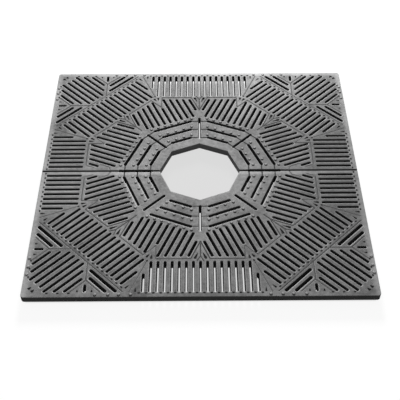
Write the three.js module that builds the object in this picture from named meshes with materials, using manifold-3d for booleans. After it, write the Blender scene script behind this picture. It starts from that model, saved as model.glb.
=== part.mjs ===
// Cast iron tree grate: a square casting in two halves that meet on a straight joint across the tree
// opening and are bolted together through flanges underneath.
// Millimetres, +Z up, +X to the right, +Y to the rear. The origin is in the middle, level with the feet below.

import * as THREE from 'three';
import { mergeVertices } from 'three/addons/utils/BufferGeometryUtils.js';
import Module from 'manifold-3d';

const wasm = await Module();
wasm.setup();

// The casting
const side = 1524; // 60 inches square
const overallDepth = 56; // walking surface to the feet of the ribs
const edgeDepth = 32; // depth of the rim and the bars
const openingAcrossFlats = 360; // eight-sided tree opening
const border = 27.5; // plain rim outside the ends of the slots
const jointGap = 3; // between the two halves, seen from above
const jointReveal = 8; // how far down the joint gap stays open
const jointNeck = 10; // width of the joint between the opening and the first ring
const fit = 0.3; // between pieces that touch

// Slots and the bars between them
const slotWidth = 9.5;
const draft = 2; // each slot wall leans in by this much at the underside
const barPitch = 30.9; // slots of the straight panels and the corners
const fanPitch = 31.5; // slots of the eight fans round the rings
const land = 13; // plain metal between a slot and the line that bounds its panel
const jointLand = 30; // the same between a fan's slots and the joint
const markedLand = 20; // the same at the outer ends of the diagonal panels
const shortestSlot = 30; // a shorter one is only a blind nick

// Rings round the opening: rows of slots, each with a row of studs outside it
const firstRing = 57; // from the opening's flats to the first row
const ringPitch = 57.8;
const ringSlotWidth = 12;
const jointSlotWidth = 14; // of the spokes' slots that lie on the joint
const spokeLand = 44.5; // from a spoke's middle line to the ends of the ring slots
const axisSlotEnd = 391; // from the centre to the outer end of a spoke's slot
const diagonalSlotEnd = 371; // the same on the diagonals
const fanStart = 34; // from the last ring's slots to the ends of the fans' slots
const studRow = 18; // from a ring slot to its row of studs
const studOverhang = 12.3; // the last studs lie this far past the ends of the ring slot
const studsPerRow = [4, 5, 7];

// Lines between panels, as distances from the centre, and what stands on them
const panelLine = 555; // eight sides between the fans and the outer panels
const cornerLine = 754; // cuts off the four corner blocks
const wingLine = 493.5; // between a corner block's middle and its two wings
const cornerPad = 93.5; // plain metal in the extreme corner, along the diagonal
const cornerSlotPairs = 4;
const cornerNickSpread = 12.5; // from the diagonal to the nicks in the extreme corner
const wingSlots = 2;
const wingSlotWidth = 12;
const forkOffset = 19; // from a slot to the groove of the fork beside it
const forkSlotSetback = 25; // from the fork's point to the short slot inside it
const gableTop = 453; // point of the gable between two fans
const gableHalfWidth = 42;
const gableNickLength = 40;
const keyTop = 85; // from the corner of the panel lines in to the key's point
const keyHalfWidth = 34;
const keyNickMouth = 6; // from that corner in to the mouths of the key's nicks
const keyNickSpread = 11.5;
const keyNickTailSpread = 5;
const jointGroove = 46; // from the joint to the grooves along the panel line
const creaseStart = 22; // from that corner out to the crease between two outer panels

// Surface relief
const plainSpokes = [5, 7]; // the front half's two diagonal spokes, which carry no scored lines
const grooveWidth = 7;
const grooveDepth = 2.5;
const scoreWidth = 5;
const nickWidth = 9;
const nickDepth = 6;
const nickLength = 26;
const shortNickLength = 15; // in the corner blocks
const studDiameter = 12;
const studHeight = 4;
const studRoot = 0.5; // how far a stud reaches down into the deck
const studInset = 13; // from the grate's edge to the studs of the rim

// Ribs and joint flanges under the bars
const ribWidth = 18; // at the underside of the bars
const ribFootWidth = 14;
const hubRib = 220; // from the centre to the rib round the opening
const ringRibDepth = 36; // walking surface to the foot of the rib outside the rings
const forkRibReach = 10; // how far a wing's rib runs on into its fork
const spokeRibOffset = 22; // each spoke has a rib on either side of its slot
const seatWidth = 38; // flat under the rim that rests in a frame
const flangeThickness = 11;
const flangeSetback = 5; // from the joint's slot to the flange

// Fastenings: M10 bolts through the flanges
const boltDiameter = 10;
const boltLength = 40;
const boltHoleDiameter = 11;
const hexAcrossFlats = 16;
const headHeight = 6.4;
const nutHeight = 8.4;
const washerDiameter = 20;
const washerThickness = 2;
const springWasherDiameter = 18;
const springWasherThickness = 2.2;
const springWasherGap = 1.6;
const boltInset = 74; // from the ends of a flange to its bolts
const boltClearance = 0.5; // round a fastening, where it would meet the bars

// Places of the rim's studs, as shares of the grate's side from its middle
const frontStudShares = [0.1945, 0.228, 0.2575, 0.2935];
const flankStudShares = [0.358, 0.39, 0.418];

const overrun = 5; // how far a cut runs past the face it goes through
const studSides = 6;
const boltSides = 10;
const hexSides = 6;
const sectors = 8;
const eighth = 2 * Math.PI / sectors;
const halfEighth = eighth / 2;
const quarter = Math.PI / 2;
const diagonalShare = Math.SQRT1_2; // side of a square as a share of its diagonal

// Heights and distances that follow
const deckBottom = overallDepth - edgeDepth;
const slotLimit = side / 2 - border;
const seatLimit = side / 2 - seatWidth;
const openingApothem = openingAcrossFlats / 2;
const ringApothems = studsPerRow.map((_, row) => openingApothem + firstRing + row * ringPitch);
const lastRing = ringApothems[ringApothems.length - 1];
const ringRib = lastRing + (ringSlotWidth / 2 + fanStart - slotWidth / 2) / 2;
const panelCorner = panelLine / Math.cos(halfEighth);
const lastWingSlot = cornerLine + land + slotWidth / 2 + (wingSlots - 1) * barPitch;
const lastCornerSlot = (cornerSlotPairs - 0.5) * barPitch;
const forkPoint = (lastWingSlot + forkOffset) / diagonalShare - wingLine;
const flangeStart = axisSlotEnd + flangeSetback;
const flangeFace = fit / 2 + flangeThickness;
const boltHeight = deckBottom / 2; // midway between the bars and the feet of the ribs
const innerBolt = flangeStart + boltInset;
const outerBolt = seatLimit - boltInset;

const castIron = new THREE.MeshStandardMaterial({
  color: 0x77797b,
  roughness: 0.8,
  metalness: 0.55,
  flatShading: true,
});
const zincSteel = new THREE.MeshStandardMaterial({
  color: 0xa9abad,
  roughness: 0.45,
  metalness: 0.9,
  flatShading: true,
});

// Plane geometry: a point lies at a distance along an angle and at a distance across it

function heading(angle) {
  return new THREE.Vector2(Math.cos(angle), Math.sin(angle));
}

function place(angle, along, across = 0) {
  return heading(angle).multiplyScalar(along).addScaledVector(heading(angle + quarter), across);
}

// The first and the fifth spoke lie on the joint.
function onJoint(n) {
  return n % (sectors / 2) === 0;
}

// A place in a corner of the square, from the distances along its two edges' axes. Hand is 1 or -1.
function inCorner(diagonal, hand, along, across) {
  return place(diagonal - hand * eighth, along, hand * across);
}

// The side of a line at right angles to an angle: towards the centre, or away from it when the reach is
// negative.
function within(angle, reach) {
  return { normal: heading(angle), reach };
}

// The stretch of a slot's middle line that stays inside every bound, clear by half the slot's width.
function stretch(angle, across, bounds) {
  const origin = place(angle, 0, across);
  const direction = heading(angle);
  let low = -side;
  let high = side;
  for (const { normal, reach } of bounds) {
    const room = reach - slotWidth / 2 - normal.dot(origin);
    const slope = normal.dot(direction);
    if (slope > Number.EPSILON) high = Math.min(high, room / slope);
    if (slope < -Number.EPSILON) low = Math.max(low, room / slope);
  }
  return { low, high };
}

// A long outline from one point to another, with square ends that reach half a width past both.
function oblong(from, to, width) {
  const along = to.clone().sub(from).setLength(width / 2);
  const across = new THREE.Vector2(-along.y, along.x);
  return [
    from.clone().sub(along).sub(across),
    to.clone().add(along).sub(across),
    to.clone().add(along).add(across),
    from.clone().sub(along).add(across),
  ];
}

// Solids

function toSolid(geometry) {
  geometry.deleteAttribute('normal');
  geometry.deleteAttribute('uv');
  const merged = mergeVertices(geometry);
  return new wasm.Manifold(new wasm.Mesh({
    numProp: 3,
    vertProperties: new Float32Array(merged.attributes.position.array),
    triVerts: new Uint32Array(merged.index.array),
  }));
}

function toGeometry(solid) {
  const mesh = solid.getMesh();
  const geometry = new THREE.BufferGeometry();
  geometry.setAttribute('position', new THREE.BufferAttribute(new Float32Array(mesh.vertProperties), 3));
  geometry.setIndex(new THREE.BufferAttribute(new Uint32Array(mesh.triVerts), 1));
  return geometry;
}

function joined(solids) {
  return wasm.Manifold.union(solids);
}

// A convex body between two outlines with the same number of points. Each corner is [x, y, z].
function loft(lower, upper) {
  const count = lower.length;
  const faces = [];
  for (let i = 0; i < count; i++) {
    const next = (i + 1) % count;
    faces.push(i, next, count + next, i, count + next, count + i);
  }
  for (let i = 1; i < count - 1; i++) {
    faces.push(0, i + 1, i, count, count + i, count + i + 1);
  }
  const geometry = new THREE.BufferGeometry();
  geometry.setAttribute('position', new THREE.Float32BufferAttribute([...lower, ...upper].flat(), 3));
  geometry.setIndex(faces);
  return toSolid(geometry);
}

function lift(outline, height) {
  return outline.map((point) => [point.x, point.y, height]);
}

function block(xLow, xHigh, yLow, yHigh, zLow, zHigh) {
  const geometry = new THREE.BoxGeometry(xHigh - xLow, yHigh - yLow, zHigh - zLow);
  geometry.translate((xLow + xHigh) / 2, (yLow + yHigh) / 2, (zLow + zHigh) / 2);
  return toSolid(geometry);
}

function slot(from, to, width = slotWidth) {
  const bottomWidth = width - 2 * draft * (1 + overrun / edgeDepth);
  return loft(
    lift(oblong(from, to, bottomWidth), deckBottom - overrun),
    lift(oblong(from, to, width), overallDepth + overrun),
  );
}

function rib(from, to, depth = overallDepth) {
  return loft(
    lift(oblong(from, to, ribFootWidth), overallDepth - depth),
    lift(oblong(from, to, ribWidth), deckBottom + overrun),
  );
}

// A groove of V section in the walking surface.
function groove(from, to, width = grooveWidth) {
  const along = to.clone().sub(from).normalize();
  const reach = width / 2 * (1 + overrun / grooveDepth);
  const across = new THREE.Vector2(-along.y, along.x).multiplyScalar(reach);
  const section = (end) => [
    [end.x, end.y, overallDepth - grooveDepth],
    [end.x - across.x, end.y - across.y, overallDepth + overrun],
    [end.x + across.x, end.y + across.y, overallDepth + overrun],
  ];
  return loft(section(to), section(from));
}

// A blind nick in the walking surface: a point at its tail, widest and deepest at its mouth.
function nick(tail, mouth) {
  const along = mouth.clone().sub(tail).normalize();
  const across = new THREE.Vector2(-along.y, along.x).multiplyScalar(nickWidth / 2);
  const outline = [tail, mouth.clone().sub(across), mouth.clone().add(across)];
  const bottom = lift(outline, overallDepth - nickDepth);
  bottom[0][2] = overallDepth;
  return loft(bottom, lift(outline, overallDepth + overrun));
}

function stud(middle) {
  const height = studHeight + studRoot;
  const geometry = new THREE.ConeGeometry(studDiameter / 2 * height / studHeight, height, studSides);
  geometry.rotateX(quarter);
  geometry.translate(middle.x, middle.y, overallDepth + studHeight - height / 2);
  return toSolid(geometry);
}

// The pattern of the walking surface, one eighth at a time

// Half the length of a ring slot, and how far along a spoke its ends lie.
function ringHalfLength(apothem) {
  return apothem * Math.tan(halfEighth) - spokeLand / Math.cos(halfEighth);
}

function ringEnd(apothem) {
  return (apothem - spokeLand * Math.sin(halfEighth)) / Math.cos(halfEighth);
}

// Three rows of slots, with a scored line from row to row across each spoke that has one.
function ringCuts(n) {
  const spoke = n * eighth;
  const middle = spoke + halfEighth;
  return ringApothems.flatMap((apothem) => {
    const half = ringHalfLength(apothem);
    const out = ringEnd(apothem);
    const row = [slot(place(middle, apothem, -half), place(middle, apothem, half), ringSlotWidth)];
    if (!plainSpokes.includes(n)) {
      row.push(groove(place(spoke, out, -spokeLand), place(spoke, out, spokeLand), scoreWidth));
    }
    return row;
  });
}

// The slot along a spoke. On the joint it is the joint itself, opened to the width of a slot.
function spokeCuts(n) {
  const spoke = n * eighth;
  const start = ringEnd(ringApothems[0]);
  const end = (n % 2 === 0 ? axisSlotEnd : diagonalSlotEnd) - slotWidth / 2;
  const width = onJoint(n) ? jointSlotWidth : slotWidth;
  return [slot(place(spoke, start), place(spoke, end), width)];
}

// Slots side by side along one angle. What the bounds leave too short becomes a nick that ends at the mouth
// line.
function panelCuts(angle, pitch, bounds, mouthAt, length, middleEnd = side) {
  const cuts = [];
  for (let k = -Math.ceil(side / pitch); k * pitch < side; k++) {
    const across = k * pitch;
    const { low, high } = stretch(angle, across, bounds);
    const end = k === 0 ? Math.min(high, middleEnd) : high;
    if (end - low > shortestSlot) cuts.push(slot(place(angle, low, across), place(angle, end, across)));
    else if (end - low > -shortestSlot) {
      const mouth = mouthAt(Math.abs(across));
      cuts.push(nick(place(angle, mouth - length, across), place(angle, mouth, across)));
    }
  }
  return cuts;
}

// A fan spreads between two spokes. Its middle slot stops short, at the key.
function fanCuts(n) {
  const angle = (n + 0.5) * eighth;
  const landBeside = (spoke) => (onJoint(spoke) ? jointLand : land);
  const bounds = [
    within(angle + Math.PI, slotWidth / 2 - lastRing - fanStart),
    within(angle + halfEighth + quarter, -landBeside(n + 1)),
    within(angle - halfEighth - quarter, -landBeside(n)),
    within(angle + halfEighth, panelLine - land),
    within(angle - halfEighth, panelLine - land),
  ];
  const mouthAt = (across) => (panelLine - across * Math.sin(halfEighth)) / Math.cos(halfEighth);
  return panelCuts(angle, fanPitch, bounds, mouthAt, gableNickLength, panelCorner - keyTop - land);
}

// The straight panels outside the panel line, on the axes and on the diagonals. The joint has no slot on it.
function outerPanelCuts(n) {
  const angle = n * eighth;
  const outer = n % 2 === 0 ? slotLimit : cornerLine - markedLand;
  const bounds = [
    within(angle + Math.PI, -panelLine - land),
    within(angle, outer),
    within(angle + halfEighth + quarter, -land),
    within(angle - halfEighth - quarter, -land),
  ];
  return panelCuts(angle, barPitch, bounds, () => outer, nickLength, onJoint(n) ? 0 : side);
}

// The gable between two fans, the groove along the panel line, the key where four panels meet and the crease
// outside it. The joint takes the place of a gable.
function reliefCuts(n) {
  const angle = n * eighth;
  const keyPoint = panelCorner - keyTop;
  return [-1, 1].flatMap((hand) => {
    const foot = place(angle, panelLine, hand * (onJoint(n) ? jointGroove : gableHalfWidth));
    const lineEnd = place(angle, panelLine, hand * (panelLine * Math.tan(halfEighth) - keyHalfWidth));
    const between = angle + hand * halfEighth;
    const mouth = panelCorner - keyNickMouth;
    const slope = onJoint(n) ? [] : [groove(place(angle, gableTop), foot)];
    return [
      ...slope,
      groove(foot, lineEnd),
      groove(lineEnd, place(between, keyPoint)),
      nick(
        place(between, mouth - nickLength, -hand * keyNickTailSpread),
        place(between, mouth, -hand * keyNickSpread),
      ),
    ];
  });
}

// A corner block: long slots along the diagonal, cut off from the rest by a groove.
function cornerCuts(n) {
  const diagonal = (2 * n + 1) * eighth;
  const bounds = [-1, 1].flatMap((hand) => [
    within(diagonal + hand * eighth, slotLimit),
    within(diagonal + hand * eighth + Math.PI, -wingLine - land),
  ]);
  bounds.push(within(diagonal + Math.PI, -cornerLine - land));
  bounds.push(within(diagonal, side * diagonalShare - cornerPad));
  const cuts = [-1, 1].flatMap((hand) => Array.from({ length: cornerSlotPairs }, (_, k) => {
    const across = hand * (k + 0.5) * barPitch;
    const { low, high } = stretch(diagonal, across, bounds);
    return slot(place(diagonal, low, across), place(diagonal, high, across));
  }));
  const lineHalf = slotLimit / diagonalShare - cornerLine;
  cuts.push(groove(place(diagonal, cornerLine, -lineHalf), place(diagonal, cornerLine, lineHalf)));
  const mouth = slotLimit / diagonalShare - barPitch / 2;
  for (const across of [-cornerNickSpread, cornerNickSpread]) {
    cuts.push(nick(place(diagonal, mouth - shortNickLength, across), place(diagonal, mouth, across)));
  }
  return cuts;
}

// A wing of a corner block: slots across the diagonal, and a forked groove with a short slot and two nicks
// inside.
function wingCuts(n, hand) {
  const diagonal = (2 * n + 1) * eighth;
  const angle = diagonal - hand * quarter;
  const bounds = [
    within(diagonal - hand * eighth, slotLimit),
    within(diagonal + hand * eighth, wingLine - land),
  ];
  const cuts = Array.from({ length: wingSlots }, (_, i) => {
    const across = hand * (cornerLine + land + slotWidth / 2 + i * barPitch);
    const { low, high } = stretch(angle, across, bounds);
    return slot(place(angle, low, across), place(angle, high, across), wingSlotWidth);
  });
  const at = (along, across) => inCorner(diagonal, hand, along, across);
  const innerFork = (lastWingSlot + forkOffset) / diagonalShare;
  const outerFork = (lastCornerSlot + forkOffset) / diagonalShare;
  cuts.push(groove(at(cornerLine / diagonalShare - wingLine, wingLine), at(forkPoint, wingLine)));
  cuts.push(groove(at(forkPoint, wingLine), at(slotLimit, innerFork - slotLimit)));
  cuts.push(groove(at(wingLine + outerFork, wingLine), at(slotLimit, slotLimit - outerFork)));
  cuts.push(slot(
    at(forkPoint + forkSlotSetback + slotWidth / 2, wingLine),
    at(slotLimit - slotWidth / 2, wingLine),
  ));
  for (const across of [wingLine - barPitch, wingLine + barPitch]) {
    cuts.push(nick(at(slotLimit - shortNickLength, across), at(slotLimit, across)));
  }
  return cuts;
}

function crease(n) {
  const between = (n + 0.5) * eighth;
  return groove(
    place(between, panelCorner + creaseStart),
    place(between, slotLimit / Math.cos(halfEighth)),
    scoreWidth,
  );
}

function openingCuts() {
  const radius = openingApothem / Math.cos(halfEighth);
  const outline = Array.from({ length: sectors }, (_, n) => place(n * eighth, radius));
  const hole = loft(lift(outline, deckBottom - overrun), lift(outline, overallDepth + overrun));
  const necks = [0, Math.PI].map((angle) =>
    slot(place(angle, radius - overrun), place(angle, ringEnd(ringApothems[0])), jointNeck));
  return [hole, ...necks];
}

// Studs in a row outside each ring slot, and along the rim.
function ringStuds(n) {
  const middle = (n + 0.5) * eighth;
  return ringApothems.flatMap((apothem, row) => {
    const half = ringHalfLength(apothem) + studOverhang;
    const last = studsPerRow[row] - 1;
    return Array.from({ length: studsPerRow[row] }, (_, i) =>
      stud(place(middle, apothem + studRow, half * (2 * i / last - 1))));
  });
}

function rimStuds(n) {
  const shares = n % 2 === 0 ? flankStudShares : frontStudShares;
  return shares.flatMap((share) => [-1, 1].map((hand) =>
    stud(place(n * quarter, side / 2 - studInset, hand * share * side))));
}

// Ribs under the lines that the slots leave free
function ribsOf(n) {
  const angle = n * eighth;
  const between = angle + halfEighth;
  const edge = (from, apothem, depth) => {
    const corner = apothem / Math.cos(halfEighth);
    return rib(place(from, corner), place(from + eighth, corner), depth);
  };
  const onSpoke = (apothem) => (apothem - spokeRibOffset * Math.sin(halfEighth)) / Math.cos(halfEighth);
  const ribs = [edge(angle, hubRib), edge(angle, ringRib, ringRibDepth), edge(between, panelLine)];
  for (const across of [-spokeRibOffset, spokeRibOffset]) {
    ribs.push(rib(place(angle, onSpoke(hubRib), across), place(angle, onSpoke(ringRib), across)));
  }
  const seatEnd = (seatLimit - ribWidth / 2) / Math.cos(halfEighth);
  ribs.push(rib(place(between, panelCorner), place(between, seatEnd)));
  if (!onJoint(n)) ribs.push(rib(place(angle, ringRib / Math.cos(halfEighth)), place(angle, panelLine)));
  return ribs;
}

function cornerRibs(n) {
  const diagonal = (2 * n + 1) * eighth;
  const half = (seatLimit - ribWidth) / diagonalShare - cornerLine;
  const wings = [-1, 1].map((hand) => rib(
    inCorner(diagonal, hand, cornerLine / diagonalShare - wingLine, wingLine),
    inCorner(diagonal, hand, forkPoint + forkRibReach, wingLine),
  ));
  return [rib(place(diagonal, cornerLine, -half), place(diagonal, cornerLine, half)), ...wings];
}

// The whole casting before it is divided
const everyEighth = Array.from({ length: sectors }, (_, n) => n);
const everyQuarter = Array.from({ length: sectors / 2 }, (_, n) => n);

function wholeCasting() {
  const half = side / 2;
  const cuts = [
    ...openingCuts(),
    ...everyEighth.flatMap((n) => [...ringCuts(n), ...spokeCuts(n), ...fanCuts(n)]),
    ...everyEighth.flatMap((n) => [...outerPanelCuts(n), ...reliefCuts(n), crease(n)]),
    ...everyQuarter.flatMap((n) => [...cornerCuts(n), ...wingCuts(n, -1), ...wingCuts(n, 1)]),
  ];
  const deck = block(-half, half, -half, half, deckBottom, overallDepth).subtract(joined(cuts));
  const studs = [...everyEighth.flatMap(ringStuds), ...everyQuarter.flatMap(rimStuds)];
  const ribs = [...everyEighth.flatMap(ribsOf), ...everyQuarter.flatMap(cornerRibs)];
  return joined([deck, ...studs, ...ribs]);
}

// A round bar along Y, centred on the origin.
function bar(diameter, length, sides = boltSides) {
  return toSolid(new THREE.CylinderGeometry(diameter / 2, diameter / 2, length, sides));
}

// One half of the casting with its joint flanges, bolt holes and the room for the fastenings beside them.
// Hand is -1 at the front and 1 at the rear.
function halfCasting(casting, hand) {
  const far = hand * side;
  const [yLow, yHigh] = [hand * jointGap / 2, far].sort((a, b) => a - b);
  const [flangeLow, flangeHigh] = [hand * fit / 2, hand * flangeFace].sort((a, b) => a - b);
  const part = casting.intersect(block(-side, side, yLow, yHigh, -side, side));
  const flangeTop = overallDepth - jointReveal;
  const flanges = [
    block(flangeStart, seatLimit, flangeLow, flangeHigh, 0, flangeTop),
    block(-seatLimit, -flangeStart, flangeLow, flangeHigh, 0, flangeTop),
  ];
  const hollows = boltStations.flatMap(({ x }) => [
    bar(boltHoleDiameter, 4 * flangeThickness).translate([x, 0, boltHeight]),
    bar(washerDiameter + 2 * boltClearance, boltLength)
      .translate([x, hand * (flangeFace + boltLength / 2), boltHeight]),
  ]);
  return joined([part, ...flanges]).subtract(joined(hollows));
}

// Fastenings

const boltStations = [
  { name: 'left_outer', x: -outerBolt },
  { name: 'left_inner', x: -innerBolt },
  { name: 'right_inner', x: innerBolt },
  { name: 'right_outer', x: outerBolt },
];

// A six-sided bar along Y from the origin to its length, with a flat side down.
function hexBar(length) {
  const diameter = hexAcrossFlats / Math.cos(Math.PI / hexSides);
  const geometry = new THREE.CylinderGeometry(diameter / 2, diameter / 2, length, hexSides);
  geometry.translate(0, length / 2, 0);
  return toSolid(geometry);
}

// The bolt lies along Y with the underside of its head at the origin.
function boltGeometry() {
  const rooted = bar(boltDiameter, boltLength + headHeight / 2);
  const shank = rooted.translate([0, (boltLength - headHeight / 2) / 2, 0]);
  return toGeometry(joined([hexBar(headHeight).translate([0, -headHeight, 0]), shank]));
}

function nutGeometry() {
  return toGeometry(hexBar(nutHeight).subtract(bar(boltDiameter + 2 * fit, 4 * nutHeight)));
}

function washerGeometry() {
  const disc = bar(washerDiameter, washerThickness).translate([0, washerThickness / 2, 0]);
  return toGeometry(disc.subtract(bar(boltHoleDiameter, 4 * washerThickness)));
}

function springWasherGeometry() {
  const disc = bar(springWasherDiameter, springWasherThickness).translate([0, springWasherThickness / 2, 0]);
  const half = springWasherGap / 2;
  const end = springWasherThickness + washerThickness;
  const gap = block(-half, half, -washerThickness, end, 0, springWasherDiameter);
  return toGeometry(disc.subtract(bar(boltHoleDiameter, 4 * springWasherThickness)).subtract(gap));
}

// Where each piece of a fastening starts along Y, from the head at the front to the nut at the rear.
const headWasherAt = -flangeFace - fit - washerThickness;
const boltAt = headWasherAt - fit;
const nutWasherAt = flangeFace + fit;
const springWasherAt = nutWasherAt + washerThickness + fit;
const nutAt = springWasherAt + springWasherThickness + fit;

function piece(name, geometry, material, x = 0, y = 0, z = 0) {
  const mesh = new THREE.Mesh(geometry, material);
  mesh.name = name;
  mesh.position.set(x, y, z);
  return mesh;
}

const treeGrate = new THREE.Group();
const casting = wholeCasting();
treeGrate.add(piece('front_half', toGeometry(halfCasting(casting, -1)), castIron));
treeGrate.add(piece('rear_half', toGeometry(halfCasting(casting, 1)), castIron));

const bolt = boltGeometry();
const nut = nutGeometry();
const washer = washerGeometry();
const springWasher = springWasherGeometry();
for (const { name, x } of boltStations) {
  const fastening = new THREE.Group();
  fastening.position.set(x, 0, boltHeight);
  fastening.add(piece(`bolt_${name}`, bolt, zincSteel, 0, boltAt, 0));
  fastening.add(piece(`head_washer_${name}`, washer, zincSteel, 0, headWasherAt, 0));
  fastening.add(piece(`nut_washer_${name}`, washer, zincSteel, 0, nutWasherAt, 0));
  fastening.add(piece(`spring_washer_${name}`, springWasher, zincSteel, 0, springWasherAt, 0));
  fastening.add(piece(`nut_${name}`, nut, zincSteel, 0, nutAt, 0));
  treeGrate.add(fastening);
}

export default treeGrate;
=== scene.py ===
# %% [markdown]
# # A cast iron tree grate
# A tree grate covers the soil round a street tree, so that people can walk there and rain still gets in. This one is
# two iron castings, bolted together round the trunk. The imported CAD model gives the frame, the names of the pieces
# and their box. This lesson dresses it with soft edges, wear, fastenings, floor and light.

# %% Load the fixed frame
import math
import bmesh
import bpy
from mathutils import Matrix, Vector


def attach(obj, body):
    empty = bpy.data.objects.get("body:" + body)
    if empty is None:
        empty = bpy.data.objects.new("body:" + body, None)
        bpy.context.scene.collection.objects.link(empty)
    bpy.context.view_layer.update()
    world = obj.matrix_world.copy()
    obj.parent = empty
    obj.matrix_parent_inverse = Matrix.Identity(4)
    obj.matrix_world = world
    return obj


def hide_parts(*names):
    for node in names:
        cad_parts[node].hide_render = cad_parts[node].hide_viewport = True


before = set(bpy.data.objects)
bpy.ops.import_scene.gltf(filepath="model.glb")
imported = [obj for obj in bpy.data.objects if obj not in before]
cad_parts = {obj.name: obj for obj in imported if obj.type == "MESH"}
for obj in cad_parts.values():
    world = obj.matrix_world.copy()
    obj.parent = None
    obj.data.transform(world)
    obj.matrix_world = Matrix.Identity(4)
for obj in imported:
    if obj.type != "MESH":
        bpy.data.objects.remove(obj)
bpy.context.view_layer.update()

# %% [markdown]
# ## The camera
# The photograph looks down at about 46 degrees. A pattern this fine shows every small error, so place, turn and lens
# were fitted until slots, rings and corners fell where the photograph has them.

# %% The camera
MM = 0.001
SIDE = 1524.0  # millimetres, as all sizes below; a mesh turns them into metres
HALF = SIDE / 2
TOP, DECK_BOTTOM = 56.0, 24.0  # heights of the walking surface and of the plate's underside
OPENING = 180.0  # from the middle to each of the opening's eight flats

CAMERA_STAND = (-0.0111, -2.9353, 2.8946)  # metres
CAMERA_TURN = (43.96, 0.104, -0.338)  # degrees
SENSOR, LENS = 36.0, 75.96
made_here = []


def new_object(name, data):
    """An object in the scene, noted down so that cutters can be cleared away at the end."""
    made = bpy.data.objects.new(name, data)
    bpy.context.scene.collection.objects.link(made)
    made_here.append(made)
    return made


camera_data = bpy.data.cameras.new("photo_camera")
camera_data.sensor_width, camera_data.lens = SENSOR, LENS
camera = new_object("photo_camera", camera_data)
camera.location = CAMERA_STAND
camera.rotation_euler = [math.radians(turn) for turn in CAMERA_TURN]
bpy.context.scene.camera = camera
print("camera", [round(x, 3) for x in camera.location], "lens", camera_data.lens)

# %% [markdown]
# ## Nodes from Python
# Finishes and repeated shapes are both built from nodes. A socket wrapped in a small class can be used in plain
# sums, and each sum adds its Math node, so that a tree reads like the formula it stands for.

# %% Wires and webs of nodes
def both_ways(operation):
    """The two methods of an operator, for a wire on its left and for one on its right."""
    return (lambda wire, other: wire.web.maths(operation, wire, other),
            lambda wire, other: wire.web.maths(operation, other, wire))


class Wire:
    """An output socket that sums and products can be written with."""

    def __init__(self, web, socket):
        self.web, self.socket = web, socket

    __add__, __radd__ = both_ways("ADD")
    __sub__, __rsub__ = both_ways("SUBTRACT")
    __mul__, __rmul__ = both_ways("MULTIPLY")
    __truediv__, __rtruediv__ = both_ways("DIVIDE")

    def also(self, name):
        """Another output of the same node."""
        return Wire(self.web, next(s for s in self.socket.node.outputs if s.name == name and s.enabled))


class Web:
    """A node tree that is being built."""

    def __init__(self, tree):
        self.tree = tree

    def add(self, kind, inputs=None, **settings):
        """Any node, with inputs by name or by number. A list links several wires to one socket."""
        node = self.tree.nodes.new(kind)
        for name, value in settings.items():
            setattr(node, name, value)
        for key, value in (inputs or {}).items():
            if isinstance(key, int):
                socket = node.inputs[key]
            else:
                socket = next(s for s in node.inputs if s.name == key and s.enabled)
            for item in value if isinstance(value, list) else [value]:
                if isinstance(item, Wire):
                    self.tree.links.new(item.socket, socket)
                else:
                    socket.default_value = item
        outputs = [s for s in node.outputs if s.enabled]
        return Wire(self, outputs[0]) if outputs else node

    def maths(self, operation, *values):
        return self.add("ShaderNodeMath", dict(enumerate(values)), operation=operation)

    def vectors(self, operation, *values):
        return self.add("ShaderNodeVectorMath", dict(enumerate(values)), operation=operation)

    def parts(self, vector):
        spot = self.add("ShaderNodeSeparateXYZ", {"Vector": vector})
        return [spot.also(axis) for axis in "XYZ"]


def grow(thing, name, build, values):
    """Gives an object a tree with an input for each value. The first use of a name builds the tree."""
    tree = bpy.data.node_groups.get(name)
    if not tree:
        tree = bpy.data.node_groups.new(name, "GeometryNodeTree")
        for way in ("INPUT", "OUTPUT"):
            tree.interface.new_socket("Geometry", in_out=way, socket_type="NodeSocketGeometry")
        for label, value in values.items():
            kind = "Float" if isinstance(value, float) else type(value).__name__
            tree.interface.new_socket(label, in_out="INPUT", socket_type="NodeSocket" + kind)
        web = Web(tree)
        entry = tree.nodes.new("NodeGroupInput")
        given = {s.name: Wire(web, s) for s in entry.outputs if s.name}
        for label, value in values.items():
            if isinstance(value, bpy.types.Object):
                given[label] = web.add("GeometryNodeObjectInfo", {"Object": given[label]}).also("Geometry")
        real = web.add("GeometryNodeRealizeInstances", {"Geometry": build(web, given)})
        done = web.add("GeometryNodeSetMaterial", {"Geometry": real, "Material": given["Finish"]})
        web.add("NodeGroupOutput", {"Geometry": done})
    modifier = thing.modifiers.new(name, "NODES")
    modifier.node_group = tree
    keys = {s.name: s.identifier for s in tree.interface.items_tree if s.in_out == "INPUT"}
    for label, value in values.items():
        modifier[keys[label]] = value


def settle(thing):
    """Turns an object's modifiers into its plain mesh."""
    graph = bpy.context.evaluated_depsgraph_get()
    mesh = bpy.data.meshes.new_from_object(thing.evaluated_get(graph), depsgraph=graph)
    thing.modifiers.clear()
    thing.data = mesh
    mesh.name = thing.name
    print(thing.name, len(mesh.vertices), "points", len(mesh.polygons), "faces")


print("node helpers ready")

# %% [markdown]
# ## Finishes
# Bare iron castings come out of the sand with a dark, fine-grained skin. Feet and weather wear the walking surface to
# a lighter grey and rub the slots' lips lighter still, a colour that is partly a painted highlight. The rear and side
# borders are lighter too. The rest is painted light and shade: a painted highlight on a strip before the joint,
# painted shade on the knobs' flanks, painted light on the rim's outer face and the opening's wall, and broad painted
# light and shade over the whole grate. So the finish depends on height and place, and noise adds grain, mottling and
# clouds.

# %% Helpers for finishes
def new_finish(name, build):
    """A material whose surface is the shader that build makes from Object coordinates."""
    finish = bpy.data.materials.new(name)
    finish.use_nodes = True
    finish.node_tree.nodes.clear()
    web = Web(finish.node_tree)
    shader = build(web, web.add("ShaderNodeTexCoord").also("Object"))
    web.add("ShaderNodeOutputMaterial", {"Surface": shader})
    return finish


def noise(web, here, scale, detail, roughness):
    return web.add("ShaderNodeTexNoise", {
        "Vector": here, "Scale": scale, "Detail": detail, "Roughness": roughness})


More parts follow.
